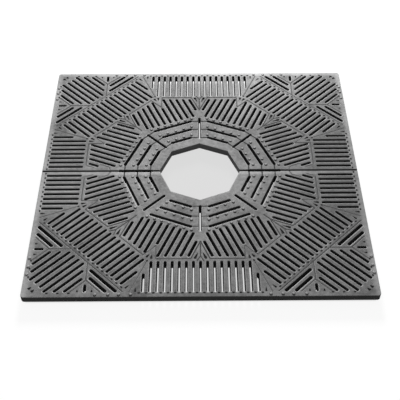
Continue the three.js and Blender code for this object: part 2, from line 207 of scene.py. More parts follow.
def ramp(web, value, band, unit=MM):
    """0 below a band, 1 above it, and a smooth slope between. A band that is given downwards falls."""
    return web.add("ShaderNodeMapRange", {
        "Value": value, "From Min": band[0] * unit, "From Max": band[1] * unit}, interpolation_type="SMOOTHSTEP")


def mix(web, factor, a, b):
    return web.add("ShaderNodeMix", {"Factor": factor, "A": a, "B": b}, data_type="RGBA")


def triple(web, x, y, z):
    return web.add("ShaderNodeCombineXYZ", {"X": x, "Y": y, "Z": z})


def unsigned(web, here):
    """X and Y without their signs."""
    return web.parts(web.vectors("ABSOLUTE", here))[:2]


def grey(level):
    return (level, level, level, 1)


print("finish helpers ready")

# %% [markdown]
# Each pair of heights or distances, in millimetres, is a band in which one look fades into the next, since neither
# wear nor painted light and shade has a sharp border.

# %% The iron's finish
WORN = TOP - 1.9, TOP - 0.7  # from cast skin to worn iron
# the slots' lips and shoulders are painted lighter: worn, and partly a painted highlight
LIP_BAND = TOP - 0.5, TOP - 0.03  # from rubbed lip to level surface
# the knobs' flanks take the dark skin colour, partly as unworn skin and partly as painted shade
KNOB_SHADE_BAND, KNOB_CROWN = (TOP + 0.2, TOP + 0.7), (TOP + 2.2, TOP + 3.0)
# RIM_BAND picks out the rim's outer face, which is painted lighter: painted light
RIM_BAND, BORDER_BAND = (HALF - 2.0, HALF - 0.8), (HALF - 36, HALF - 8)  # distances from the middle, on X or Y
# within WALL_BAND the opening's wall is painted lighter: painted light
WALL_BAND = 199.0, 196.0  # just outside the opening's corners
# a painted highlight on a strip in front of the joint
JOINT_HIGHLIGHT_START, JOINT_HIGHLIGHT_END = (-34.0, -22.0), (-4.0, -7.0)  # in front of the joint, which is at 0
SKIN, FACE = (0.038, 0.072), (0.10, 0.265)  # cast skin and worn iron, in their dark and light spots
RUBBED_LIP_AND_HIGHLIGHT, CROWN, BORDER_AND_JOINT_HIGHLIGHT, RIM_SIDE_PAINTED_LIGHT, OPENING_WALL_PAINTED_LIGHT = 0.38, 0.29, 0.40, 0.064, 0.16
# BROAD_PAINTED_LIGHT brightens and darkens broad patches of the surface: painted light and shade
GRAIN, MOTTLE, CLOUD, BROAD_PAINTED_LIGHT = 330.0, 55.0, 7.0, 1.0  # noise waves per metre
BROAD_PAINTED_LIGHT_SHIFT, BROAD_PAINTED_LIGHT_BASE = (6.3, 2.9, 2.5), 0.54  # which patch of the noise, and its least factor


def iron_shader(web, here):
    rearwards, height = web.parts(here)[1:]
    x, y = unsigned(web, here)
    grain = noise(web, here, GRAIN, 3.0, 0.65)
    mottle = noise(web, here, MOTTLE, 4.0, 0.62)
    cloud = noise(web, here, CLOUD, 3.0, 0.5)
    # broad painted light and shade over the whole grate
    painted_light = noise(web, web.vectors("ADD", here, BROAD_PAINTED_LIGHT_SHIFT), BROAD_PAINTED_LIGHT, 1.0, 0.5) + BROAD_PAINTED_LIGHT_BASE

    tone = (cloud - 0.5) * 1.8 + (mottle - 0.5) * 1.6 + (grain - 0.5) * 0.5 + 0.5
    skin = mix(web, mottle, grey(SKIN[0]), grey(SKIN[1]))
    face = mix(web, tone, grey(FACE[0]), grey(FACE[1]))
    # lighter lips and shoulders: real wear and partly a painted highlight
    lip_worn_and_highlit = mix(web, (1 - ramp(web, height, LIP_BAND)) * 0.9, face, grey(RUBBED_LIP_AND_HIGHLIGHT))
    # painted shade on the knobs' flanks, in the skin's colour
    knob_shaded = mix(web, ramp(web, height, KNOB_SHADE_BAND) * 0.9, lip_worn_and_highlit, skin)
    crowned = mix(web, ramp(web, height, KNOB_CROWN), knob_shaded, grey(CROWN))

    # lighter along the rear and side borders, not the front one
    border = ramp(web, web.maths("MAXIMUM", x, rearwards), BORDER_BAND)
    # painted highlight on a strip in front of the joint, in the borders' lighter colour
    joint_highlight = ramp(web, rearwards, JOINT_HIGHLIGHT_START) * ramp(web, rearwards, JOINT_HIGHLIGHT_END)
    bright = web.maths("MAXIMUM", border * 0.7, joint_highlight * 0.5)
    brightened = mix(web, bright * (tone * 0.8 + 0.6), crowned, grey(BORDER_AND_JOINT_HIGHLIGHT))
    surface = web.add("ShaderNodeVectorMath", {0: brightened, "Scale": painted_light}, operation="SCALE")

    # painted light on the rim's outer face
    rim_with_painted_light = mix(web, ramp(web, web.maths("MAXIMUM", x, y), RIM_BAND), skin, grey(RIM_SIDE_PAINTED_LIGHT))
    middle = web.vectors("LENGTH", triple(web, x, y, 0.0)).also("Value")
    # painted light on the opening's wall
    walls = mix(web, ramp(web, middle, WALL_BAND), rim_with_painted_light, grey(OPENING_WALL_PAINTED_LIGHT))

    worn = ramp(web, height, WORN)
    bump = web.add("ShaderNodeBump", {
        "Strength": 0.7, "Distance": 0.0016, "Height": grain * 0.4 + mottle * 0.6})
    return web.add("ShaderNodeBsdfPrincipled", {
        "Base Color": mix(web, worn, walls, surface), "Roughness": 0.9 - worn * 0.3 + (grain - 0.5) * 0.2,
        "Metallic": worn * 0.2, "Specular IOR Level": 0.2, "Normal": bump})


cast_iron = new_finish("weathered_iron", iron_shader)
print("finish", cast_iron.name, len(cast_iron.node_tree.nodes), "nodes")

# %% [markdown]
# The fastenings are zinc plated. In the damp zinc turns from bright to a dull grey bloom, in patches, so one noise
# moves colour and roughness together, and a coarser one adds dirt.

# %% The zinc's finish
BRIGHT_ZINC, DULL_ZINC, DIRT = (0.50, 0.51, 0.52, 1), (0.30, 0.30, 0.29, 1), (0.10, 0.08, 0.06, 1)


def zinc_shader(web, here):
    bloom = noise(web, here, 260.0, 3.0, 0.6)
    dirt = noise(web, here, 60.0, 4.0, 0.65)
    plated = mix(web, ramp(web, bloom, (0.35, 0.68), 1), BRIGHT_ZINC, DULL_ZINC)
    bump = web.add("ShaderNodeBump", {"Strength": 0.3, "Distance": 0.0002, "Height": bloom})
    return web.add("ShaderNodeBsdfPrincipled", {
        "Base Color": mix(web, ramp(web, dirt, (0.52, 0.78), 1), plated, DIRT),
        "Roughness": 0.34 + bloom * 0.25, "Metallic": 0.85, "Normal": bump})


zinc_steel = new_finish("zinc_plate", zinc_shader)
print("finish", zinc_steel.name, len(zinc_steel.node_tree.nodes), "nodes")

# %% [markdown]
# ## The plan of the walking surface
# The pattern repeats every eighth of a turn: rings round the opening, a fan between each two spokes, straight panels
# outside the fans, and a block in each corner. Each slot is one line here, from the middle of one round end to the
# middle of the other, and all lines follow from a few sizes.

# %% Places on the plan
SECTORS = 8
EIGHTH = 2 * math.pi / SECTORS
HALF_EIGHTH, QUARTER = EIGHTH / 2, math.pi / 2
DIAGONAL = math.sqrt(0.5)
SLOT, RING_SLOT, WING_SLOT, JOINT_SLOT = 11.8, 13.2, 13.6, 14.2  # widths of the slots
BAR_PITCH, FAN_PITCH = 30.9, 31.5
LAND, PANEL_LAND, MARKED_LAND, JOINT_LAND = 13.0, 11.3, 20.0, 30.0  # plain metal between a line and a slot
SLOT_LIMIT = HALF - 26.0
GROOVE_WIDTH, FINE_GROOVE, GROOVE_DEPTH = 8.0, 7.5, 2.0
NICK_WIDTH, NICK_DEPTH = 9.0, 6.0
slots = []  # rows of (from, to, width)
grooves, nicks = [], []  # rows of (from, to, width, depth)
studs, dimples = [], []  # rows of (point, turn)


def place(angle, along, across=0.0):
    """A point at a distance along an angle, and at a distance across it."""
    return Vector((
        math.cos(angle) * along - math.sin(angle) * across,
        math.sin(angle) * along + math.cos(angle) * across))


def corner_of(apothem):
    """How far out the corners of an eight-sided outline are."""
    return apothem / math.cos(HALF_EIGHTH)


def on_joint(n):
    return n % (SECTORS // 2) == 0


def slot(start, end, width=SLOT):
    slots.append((start, end, width))


def groove(start, end, width=GROOVE_WIDTH, depth=GROOVE_DEPTH):
    grooves.append((start, end, width, depth))


def nick(start, end, width=NICK_WIDTH, depth=NICK_DEPTH):
    nicks.append((start, end, width, depth))


def stretch(angle, across, bounds):
    """The part of a slot's middle line that stays inside every bound, clear by half a slot."""
    origin, heading = place(angle, 0, across), place(angle, 1)
    low, high = -SIDE, SIDE
    for facing, reach in bounds:
        normal = place(facing, 1)
        room = reach - SLOT / 2 - normal.dot(origin)
        slope = normal.dot(heading)
        if slope > 1e-9:
            high = min(high, room / slope)
        elif slope < -1e-9:
            low = max(low, room / slope)
    return low, high


print("slots run out to", SLOT_LIMIT, "mm from the middle")

# %% [markdown]
# Each spoke has one slot along it. Scored lines across the spokes show where a ring can be broken out as the trunk
# grows. Low knobs outside each ring's slots give grip.

# %% Rings, spokes and knobs
RING_APOTHEMS = [OPENING + 57 + row * 57.8 for row in range(3)]
SPOKE_LAND = 44.5  # from the middle of a spoke to a ring's slot
SPOKE_ENDS = 391.0, 371.0  # on the axes and on the diagonals
STUDS_PER_ROW, STUD_ROW, STUD_REACH = (4, 5, 7), 18.0, 12.3  # past the ring's slot, and past its ends
PLAIN_SPOKES = (5, 7)  # the front half's diagonal spokes, which carry no scored lines
FRONT_SPOKE, SCORE, FAINT_SCORE = 6, 2.7, 2.1  # depths of the scored lines, faint on the front spoke


def ring_end(apothem):
    return (apothem - SPOKE_LAND * math.sin(HALF_EIGHTH)) / math.cos(HALF_EIGHTH)


def ring_half(apothem):
    return apothem * math.tan(HALF_EIGHTH) - SPOKE_LAND / math.cos(HALF_EIGHTH)


for n in range(SECTORS):
    spoke, middle = n * EIGHTH, (n + 0.5) * EIGHTH
    for apothem, count in zip(RING_APOTHEMS, STUDS_PER_ROW):
        half, out = ring_half(apothem), ring_end(apothem)
        slot(place(middle, apothem, -half), place(middle, apothem, half), RING_SLOT)
        if n not in PLAIN_SPOKES:
            groove(place(spoke, out, -SPOKE_LAND), place(spoke, out, SPOKE_LAND), FINE_GROOVE,
                   FAINT_SCORE if n == FRONT_SPOKE else SCORE)
        for i in range(count):
            share = 2 * i / (count - 1) - 1
            studs.append((place(middle, apothem + STUD_ROW, (half + STUD_REACH) * share), middle))
    slot(place(spoke, ring_end(RING_APOTHEMS[0])), place(spoke, SPOKE_ENDS[n % 2] - SLOT / 2),
         JOINT_SLOT if on_joint(n) else SLOT)
print(len(slots), "slots and", len(studs), "knobs round the opening")

# %% [markdown]
# A fan's slots run parallel to the line between two spokes, so they meet the next fan's in a row of gables. The
# straight panels do the same further out. Where a slot would be too short there is only a blind nick.

# %% Fans and straight panels
RING_LAND = 34.0  # from the last ring to the fans
PANEL_LINE, CORNER_LINE, WING_LINE = 555.0, 754.0, 493.5  # from the middle to the lines between the panels
PANEL_CORNER = corner_of(PANEL_LINE)
KEY_POINT = PANEL_CORNER - 85  # where the key between four panels starts
SHORTEST = 30.0  # slot
FAN_NICK, BAR_NICK = (42.0, 13.0), (26.0, NICK_WIDTH)  # lengths and widths
DIMPLE_LINE = 741.5


def panel(angle, pitch, bounds, mouth_at, nick_size, middle_end=SIDE):
    """Parallel slots inside bounds, and a nick where one would be too short. The middle one can end sooner."""
    for k in range(-60, 61):
        across = k * pitch
        low, high = stretch(angle, across, bounds)
        end = min(high, middle_end) if k == 0 else high
        if end - low > SHORTEST:
            slot(place(angle, low, across), place(angle, end, across))
        elif end - low > -SHORTEST:
            mouth = mouth_at(abs(across))
            nick(place(angle, mouth - nick_size[0], across), place(angle, mouth, across), nick_size[1])


for n in range(SECTORS):
    angle, middle = n * EIGHTH, (n + 0.5) * EIGHTH
    before, after = [JOINT_LAND if on_joint(m) else LAND for m in (n, n + 1)]
    panel(middle, FAN_PITCH, [
        (middle + math.pi, SLOT / 2 - RING_APOTHEMS[-1] - RING_LAND),
        (middle + HALF_EIGHTH + QUARTER, -after), (middle - HALF_EIGHTH - QUARTER, -before),
        (middle + HALF_EIGHTH, PANEL_LINE - LAND), (middle - HALF_EIGHTH, PANEL_LINE - LAND),
    ], lambda x: corner_of(PANEL_LINE - x * math.sin(HALF_EIGHTH)), FAN_NICK, KEY_POINT - LAND)
    outer = SLOT_LIMIT if n % 2 == 0 else CORNER_LINE - MARKED_LAND
    panel(angle, BAR_PITCH, [
        (angle + math.pi, -PANEL_LINE - LAND), (angle, outer),
        (angle + HALF_EIGHTH + QUARTER, -PANEL_LAND), (angle - HALF_EIGHTH - QUARTER, -PANEL_LAND),
    ], lambda x: outer, BAR_NICK, 0 if on_joint(n) else SIDE)
    for k in range(-9, 9):
        dimples.append((place(angle, DIMPLE_LINE, (k + 0.5) * BAR_PITCH), angle))
print(len(slots), "slots,", len(nicks), "nicks")

# %% [markdown]
# A corner block has long slots along the diagonal and a wing of two slots on either side. A forked groove parts them,
# with one short slot and two nicks in the fork.

# %% Corner blocks
FORK_LAND = 19.0  # from a slot to the groove of the fork beside it
FORK_SLOT = 25.0  # from the fork's point to its short slot
PAD = 92.0  # from the grate's corner to the block's two middle slots
CORNER_NICK, CORNER_NICK_WIDTH, SHALLOW_NICK = [(1007.0, 9.45), (1027.0, 10.5)], 15.0, 5.0
WING_NICK = 15.0  # length
WING_DIMPLES = 560.0, 606.5, 653.0

last_wing = CORNER_LINE + LAND + SLOT / 2 + BAR_PITCH
inner_fork = (last_wing + FORK_LAND) / DIAGONAL
outer_fork = (3.5 * BAR_PITCH + FORK_LAND) / DIAGONAL
fork_point = inner_fork - WING_LINE


def wing(diagonal, hand):
    """One side of a corner block: two slots across, the forked groove and what lies in the fork."""
    axis, across_way = diagonal - hand * EIGHTH, diagonal - hand * QUARTER

    def at(along, across):
        return place(axis, along, hand * across)

    for i in range(2):
        across = hand * (CORNER_LINE + LAND + SLOT / 2 + i * BAR_PITCH)
        low, high = stretch(across_way, across, [
            (axis, SLOT_LIMIT), (diagonal + hand * EIGHTH, WING_LINE - LAND)])
        slot(place(across_way, low, across), place(across_way, high, across), WING_SLOT)
    groove(at(CORNER_LINE / DIAGONAL - WING_LINE, WING_LINE), at(fork_point, WING_LINE))
    groove(at(fork_point, WING_LINE), at(SLOT_LIMIT, inner_fork - SLOT_LIMIT))
    groove(at(WING_LINE + outer_fork, WING_LINE), at(SLOT_LIMIT, SLOT_LIMIT - outer_fork))
    slot(at(fork_point + FORK_SLOT + SLOT / 2, WING_LINE), at(SLOT_LIMIT - SLOT / 2, WING_LINE))
    for across in (WING_LINE - BAR_PITCH, WING_LINE + BAR_PITCH):
        nick(at(SLOT_LIMIT - WING_NICK, across), at(SLOT_LIMIT, across))
    dimples.extend((at(DIMPLE_LINE, along), axis) for along in WING_DIMPLES)


for n in range(SECTORS // 2):
    diagonal = (2 * n + 1) * EIGHTH
    bounds = [(diagonal + EIGHTH, SLOT_LIMIT), (diagonal - EIGHTH, SLOT_LIMIT),
              (diagonal + EIGHTH + math.pi, -WING_LINE - LAND),
              (diagonal - EIGHTH + math.pi, -WING_LINE - LAND), (diagonal + math.pi, -CORNER_LINE - LAND)]
    pad = (diagonal, SIDE * DIAGONAL - PAD)
    for k in range(-4, 4):
        across = (k + 0.5) * BAR_PITCH
        low, high = stretch(diagonal, across, bounds + [pad] if k in (-1, 0) else bounds)
        slot(place(diagonal, low, across), place(diagonal, high, across))
    reach = SLOT_LIMIT / DIAGONAL - CORNER_LINE
    groove(place(diagonal, CORNER_LINE, -reach), place(diagonal, CORNER_LINE, reach))
    for hand in (-1, 1):
        nick(*[place(diagonal, along, hand * across) for along, across in CORNER_NICK],
             CORNER_NICK_WIDTH, SHALLOW_NICK)
        wing(diagonal, hand)
print(len(slots), "slots,", len(nicks), "nicks,", len(dimples), "dimples")

# %% [markdown]
# Shallow grooves draw the pattern between the panels: a gable with a fold at every spoke, a rounder and fainter one
# beside the joint, a key where four panels meet, and a crease from each key out to the rim.

# %% Gables, keys and creases
GABLE_TOP, GABLE_FOOT, JOINT_FOOT = 453.0, 42.0, 46.0
FOLD_TOPS, FOLD_FORK, FOLD_FOOT = (465.0, 414.0), 539.5, (567.0, 15.2)
JOINT_GABLE = [[(433, 8), (442, 28), (485, 46.5)], [(515, 25), (551, 38)]]  # lines through (along, across)
KEY_ARM, KEY_NICK, KEY_NICK_WIDTH = 34.0, [(32.0, 5.0), (6.0, 11.5)], 12.0
CREASE_START = 22.0
GABLE_DEPTH, JOINT_GABLE_DEPTH, CREASE_DEPTH = 2.1, 1.75, 1.85
RIM_ROW = HALF - 13  # of knobs
RIM_SHARES = [0.358, 0.39, 0.418], [0.1945, 0.228, 0.2575, 0.2935]  # of the side, beside the joint and in front

for n in range(SECTORS):
    angle = n * EIGHTH
    for hand in (-1, 1):
        between = angle + hand * HALF_EIGHTH
        foot = place(angle, PANEL_LINE, hand * (JOINT_FOOT if on_joint(n) else GABLE_FOOT))
        line_end = place(angle, PANEL_LINE, hand * (PANEL_LINE * math.tan(HALF_EIGHTH) - KEY_ARM))
        groove(foot, line_end)
        groove(line_end, place(between, KEY_POINT))
        nick(*[place(between, PANEL_CORNER - inwards, -hand * across) for inwards, across in KEY_NICK],
             KEY_NICK_WIDTH, SHALLOW_NICK)
        if on_joint(n):
            for line in JOINT_GABLE:
                points = [place(angle, along, hand * across) for along, across in line]
                for start, end in zip(points, points[1:]):
                    groove(start, end, FINE_GROOVE, JOINT_GABLE_DEPTH)
        else:
            fold_foot = place(angle, FOLD_FOOT[0], hand * FOLD_FOOT[1])
            groove(place(angle, GABLE_TOP), foot, depth=GABLE_DEPTH)
            groove(place(angle, FOLD_FORK), fold_foot, FINE_GROOVE, GABLE_DEPTH)
    if not on_joint(n):
        groove(place(angle, FOLD_TOPS[n % 2]), place(angle, FOLD_FORK), depth=GABLE_DEPTH)
    between = angle + HALF_EIGHTH
    crease_start = place(between, PANEL_CORNER + CREASE_START)
    groove(crease_start, place(between, corner_of(SLOT_LIMIT)), depth=CREASE_DEPTH)
    dimples.append((place(between, PANEL_CORNER + CREASE_START / 2), between + QUARTER))
for n in range(SECTORS // 2):
    for share in RIM_SHARES[n % 2]:
        studs += [(place(n * QUARTER, RIM_ROW, hand * share * SIDE), 0.0) for hand in (-1, 1)]
print(len(grooves), "grooves,", len(studs), "knobs")

# %% [markdown]
# ## Shapes by lofting
# A slot is a long oval that narrows as it goes down, and a rim is a square whose top edge rounds over. A loft, a skin
# over a row of rings, makes both without a gap.

# %% Lofting
def loft(name, rings, ends=True):
    """An object from rings of as many points each. Without ends, the last ring joins the first."""
    mesh = bmesh.new()
    rows = [[mesh.verts.new([x * MM for x in point]) for point in ring] for ring in rings]
    count = len(rows[0])
    for a, b in zip(rows, rows[1:] + ([] if ends else rows[:1])):
        for i in range(count):
            mesh.faces.new((a[i], a[(i + 1) % count], b[(i + 1) % count], b[i]))
    if ends:
        mesh.faces.new(rows[0])
        mesh.faces.new(rows[-1])
    bmesh.ops.recalc_face_normals(mesh, faces=mesh.faces)
    data = bpy.data.meshes.new(name)
    mesh.to_mesh(data)
    mesh.free()
    return new_object(name, data)


def round_ring(radius, height, count=12, squash=1.0):
    turn = math.pi / count
    return [(radius * math.cos(turn * (2 * i + 1)), radius * squash * math.sin(turn * (2 * i + 1)), height)
            for i in range(count)]


def many_sided_ring(sides, apothem, height, corner, steps, start=0.0):
    """A regular outline with rounded corners, the first of them at the start angle."""
    half_turn = math.pi / sides
    points = []
    for n in range(sides):
        vertex = start + 2 * n * half_turn
        centre = place(vertex, (apothem - corner) / math.cos(half_turn))
        for i in range(steps + 1):
            turn = vertex + half_turn * (2 * i / steps - 1)
            points.append((centre.x + corner * math.cos(turn), centre.y + corner * math.sin(turn), height))
    return points


print("lofting ready")

# %% [markdown]
# The plan's lines and points become meshes too. Each carries its own width, depth or turn, which the trees read to
# place and scale the cutters.

# %% Guides for the trees
def guide(name, points, edges, domain, columns):
    """Loose points or edges that carry columns of numbers."""
    data = bpy.data.meshes.new(name)
    data.from_pydata([(p.x * MM, p.y * MM, TOP * MM) for p in points], edges, [])
    for label, numbers in columns.items():
        data.attributes.new(label, "FLOAT", domain).data.foreach_set("value", numbers)
    return new_object(name, data)


def lines_object(name, rows):
    """Edges from rows of (from, to, width) or (from, to, width, depth)."""
    labels = ("width", "depth")[:len(rows[0]) - 2]
    return guide(name, [p for row in rows for p in row[:2]], [(2 * i, 2 * i + 1) for i in range(len(rows))],
                 "EDGE", {label: [row[i] * MM for row in rows] for i, label in enumerate(labels, 2)})


def points_object(name, rows):
    return guide(name, [p for p, _ in rows], [], "POINT", {"turn": [turn for _, turn in rows]})


slot_lines = lines_object("slot_lines", slots)
print("guide lines", len(slot_lines.data.edges))

# %% [markdown]
# Everything is cut from one plate. Sand castings have no sharp outer corners, so its rim is rounded all over.

# %% The blank
RIM_CORNER, RIM_CORNER_STEPS = 14.0, 6
RIM_SECTION = [(1.4, DECK_BOTTOM), (0.6, DECK_BOTTOM + 0.8), (0.0, TOP - 1.8), (0.25, TOP - 0.9),
               (0.9, TOP - 0.25), (1.8, TOP)]  # rows of (inset, height)
casting = loft("casting", [
    many_sided_ring(4, HALF - inset, height, RIM_CORNER, RIM_CORNER_STEPS, EIGHTH)
    for inset, height in RIM_SECTION])
print("blank", [round(x, 4) for x in casting.dimensions])

# %% [markdown]
# ## Cutting the slots
# Some three hundred slots share one section: walls that lean in as they go down, and rounded lips that run out in a
# worn shoulder. One cutter is placed on each line's middle, turned to it and pulled apart to its length, since a
# plain scale would stretch the round ends too.

# %% The slot's cutter
LIP, SHOULDER, OVER = 4.2, 6.0, 4.0  # a lip's radius, a worn edge's width, and how far cutters stick out
DRAFT = 2.99  # by which a slot's half width has shrunk at the cutter's lower end
PAST = 0.3  # share by which the shoulder's slope goes on above the surface
FIRST_THIRD, SECOND_THIRD = 0.134, 0.5  # how far off a quarter round is after each third of its turn


def lip(radius):
    """Steps (outwards, upwards) over a rounded lip and a flat shoulder, to just above the surface."""
    drop, start = FIRST_THIRD * radius, SECOND_THIRD * radius
    return [(0, -radius), (drop, -start), (start, -drop), (SHOULDER + PAST * (SHOULDER - start), PAST * drop)]


slot_cutter = loft("slot_cutter", [
    round_ring(SLOT / 2 - DRAFT, DECK_BOTTOM - TOP - OVER),
    *[round_ring(SLOT / 2 + out, rise) for out, rise in lip(LIP)]])
print("slot cutter", [round(x, 4) for x in slot_cutter.dimensions])

# %% [markdown]
# Each point remembers its line's length, turn and width. The cutter's halves are marked with -1 and 1, and once the
# copies are made real those marks tell which way to pull each point.

# %% The slots' tree
def lay_along(web, lines):
    """A point at the middle of each line, with the line's length and turn kept on it."""
    ends = web.add("GeometryNodeInputMeshEdgeVertices")
    start, stop = ends.also("Position 1"), ends.also("Position 2")
    way = web.vectors("SUBTRACT", stop, start)
    length = web.vectors("LENGTH", way).also("Value")
    x, y, _ = web.parts(way)
    turn = web.maths("ARCTAN2", y, x)
    for label, value in (("length", length), ("turn", turn)):
        lines = web.add("GeometryNodeStoreNamedAttribute", {
            "Geometry": lines, "Name": label, "Value": value}, domain="EDGE")
    return web.add("GeometryNodeMeshToPoints", {"Mesh": lines}, mode="EDGES")


def named(web, label):
    return web.add("GeometryNodeInputNamedAttribute", {"Name": label})


def copies(web, points, thing, scale=(1.0, 1.0, 1.0)):
    """A copy of a thing on each point, turned by the point's own turn."""
    return web.add("GeometryNodeInstanceOnPoints", {
        "Points": points, "Instance": thing, "Rotation": triple(web, 0.0, 0.0, named(web, "turn")),
        "Scale": scale})


def solid(web, operation, first, *others):
    """One closed body from several: their sum, what they share, or the first less the others."""
    inputs = {"Mesh 1": first, "Mesh 2": list(others)} if operation == "DIFFERENCE" else {1: [first, *others]}
    return web.add("GeometryNodeMeshBoolean", inputs, operation=operation, solver="MANIFOLD")


def cut_slots(web, given):
    side = web.parts(web.add("GeometryNodeInputPosition"))[0]
    cutter = web.add("GeometryNodeStoreNamedAttribute", {
        "Geometry": given["Cutter"], "Name": "end", "Value": web.maths("SIGN", side)})
    fat = named(web, "width") / given["Cutter width"]
    laid = copies(web, lay_along(web, given["Lines"]), cutter, triple(web, fat, fat, 1.0))
    real = web.add("GeometryNodeRealizeInstances", {"Geometry": laid})
    pull = named(web, "end") * named(web, "length") * 0.5
    turn = named(web, "turn")
    offset = triple(web, pull * web.maths("COSINE", turn), pull * web.maths("SINE", turn), 0.0)
    pulled = web.add("GeometryNodeSetPosition", {"Geometry": real, "Offset": offset})
    return solid(web, "DIFFERENCE", given["Geometry"], pulled)


grow(casting, "cut_slots", cut_slots, {
    "Lines": slot_lines, "Cutter": slot_cutter, "Cutter width": SLOT * MM, "Finish": cast_iron})
settle(casting)

# %% [markdown]
# ## Cutting the relief
# Grooves, nicks and dimples are shallow, with one small cutter for each kind. Cutters stay instances up to the cut,
# so that the solver takes each as a body of its own and copies may cross.

# %% Cutters for the relief
GROOVE_SECTION = [(-0.6, 0.3), (-0.49, -0.1), (-0.26, -0.8), (0.26, -0.8), (0.49, -0.1), (0.6, 0.3)]
GROOVE_STATIONS = [(-0.5, 0.9, 0.6), (-0.49, 1, 1), (0.49, 1, 1), (0.5, 0.9, 0.6)]
NICK_SECTION = [(-0.56, 0.12), (-0.48, -0.06), (-0.3, -0.9), (0.3, -0.9), (0.48, -0.06), (0.56, 0.12)]
NICK_STATIONS = [(-0.5, 0.15, 0.05), (-0.15, 0.55, 0.55), (0.25, 0.95, 0.95), (0.42, 1, 1), (0.5, 0.8, 0.7)]
DIMPLE_SECTION = [(5.4, 0.4), (4.6, -0.3), (3.9, -1.7), (2.0, -2.4)]  # rows of (radius, height)
DIMPLE_POINTS, DIMPLE_SQUASH = 10, 1.5


def trough(name, section, stations):
    """A cutter one metre long, wide and deep, from stations of (along, width share, depth share)."""
    return loft(name, [[(along / MM, across * wide / MM, down * (deep if down < 0 else 1) / MM)
                        for across, down in section] for along, wide, deep in stations])


groove_cutter = trough("groove_cutter", GROOVE_SECTION, GROOVE_STATIONS)
nick_cutter = trough("nick_cutter", NICK_SECTION, NICK_STATIONS)
dimple_cutter = loft("dimple_cutter", [
    round_ring(radius, height, DIMPLE_POINTS, DIMPLE_SQUASH) for radius, height in DIMPLE_SECTION])
print("dimple cutter", [round(x, 4) for x in dimple_cutter.dimensions])

# %% [markdown]
# The opening is an octagon with its corners on the axes and diagonals, so that each spoke starts from a corner.
# Its wall goes straight down from a rounded lip.

# %% The opening's cutter
OPENING_LIP, OPENING_CORNER, OPENING_STEPS = 2.5, 4.0, 3

opening_cutter = loft("opening_cutter", [
    many_sided_ring(SECTORS, OPENING + out, height, OPENING_CORNER, OPENING_STEPS) for out, height in
    [(0, DECK_BOTTOM - OVER)] + [(out, TOP + rise) for out, rise in lip(OPENING_LIP)]])
print("opening", OPENING * 2, "mm across its flats")

# %% [markdown]
# All kinds of cut meet in one difference. Grooves run a little past their lines, so that two that meet leave no wedge
# between them. The joint is a wide, deep groove as well, which gives it worn edges.

# %% The relief tree
JOINT_GROOVE, JOINT_GROOVE_DEPTH, PAST_THE_RIM = 12.0, 4.2, 4.0
GROOVE_OVERLAP = 0.4  # of its width


def along_lines(web, lines, cutter, extra):
    scale = triple(web, named(web, "length") + named(web, "width") * extra, named(web, "width"),
                   named(web, "depth"))
    return copies(web, lay_along(web, lines), cutter, scale)


def on_points(web, points, thing):
    return copies(web, web.add("GeometryNodeMeshToPoints", {"Mesh": points}), thing)


def cut_relief(web, given):
    return solid(web, "DIFFERENCE", given["Geometry"],
                 along_lines(web, given["Grooves"], given["Groove cutter"], given["Groove overlap"]),
                 along_lines(web, given["Nicks"], given["Nick cutter"], 0.0),
                 on_points(web, given["Dimples"], given["Dimple cutter"]), given["Opening"])


for hand in (-1, 1):
    groove(place(0, hand * OPENING), place(0, hand * (HALF + PAST_THE_RIM)), JOINT_GROOVE, JOINT_GROOVE_DEPTH)
grow(casting, "cut_relief", cut_relief, {
    "Grooves": lines_object("groove_lines", grooves), "Groove cutter": groove_cutter,
    "Groove overlap": GROOVE_OVERLAP, "Nicks": lines_object("nick_lines", nicks), "Nick cutter": nick_cutter,
    "Dimples": points_object("dimple_points", dimples), "Dimple cutter": dimple_cutter,
    "Opening": opening_cutter, "Finish": cast_iron})
settle(casting)

# %% [markdown]
# ## Knobs and ribs
# Low domes give grip. A rib tapers so that it leaves the sand, and spreads where it joins the plate, since a sharp
# inner corner in cast iron would crack as it cools.

# %% Knob and rib
KNOB_SECTION = [(8.2, -0.8), (7.4, 0.2), (6.9, 2.4), (5.8, 3.5), (3.4, 3.97)]  # rows of (radius, height)
RIB_SECTION = [(-5.8, -1.0), (5.8, -1.0), (7.0, -0.95), (8.7, -0.14), (10.6, 0.02), (9.0, 0.22),
               (-9.0, 0.22), (-10.6, 0.02), (-8.7, -0.14), (-7.0, -0.95)]  # across in millimetres, share of depth

knob = loft("knob", [round_ring(radius, height) for radius, height in KNOB_SECTION])
rib_shape = loft("rib", [
    [(end / MM, across, down / MM) for across, down in RIB_SECTION] for end in (-0.5, 0.5)])
print("knob", [round(x, 4) for x in knob.dimensions])

# %% [markdown]
# Ribs run below the plain strips of metal and carry the load to the rim. Those round the opening are shallow and let
# light through the slots beside them.

# %% Where the ribs run
RIB_WIDTH = 18.0
HUB_RIB, HUB_RIB_DEPTH = 215.0, 12.0  # the rib round the opening, and its depth below the plate
RING_RIB, RING_RIB_DEPTH = RING_APOTHEMS[-1] + (RING_SLOT / 2 + RING_LAND - SLOT / 2) / 2, 4.0
SEAT_LIMIT = HALF - 38  # outside it lies the flat seat for the frame's ledge
SPOKE_RIBS = 22.0  # from the middle of a spoke to the ribs on either side of it
SPOKE_RIB_START = corner_of(RING_RIB) + 20
FORK_RIB = 10.0  # how far a wing's rib reaches into the fork
ribs = []  # rows of (from, to, width, depth)


def rib(start, end, depth=DECK_BOTTOM):
    ribs.append((start, end, RIB_WIDTH, depth))


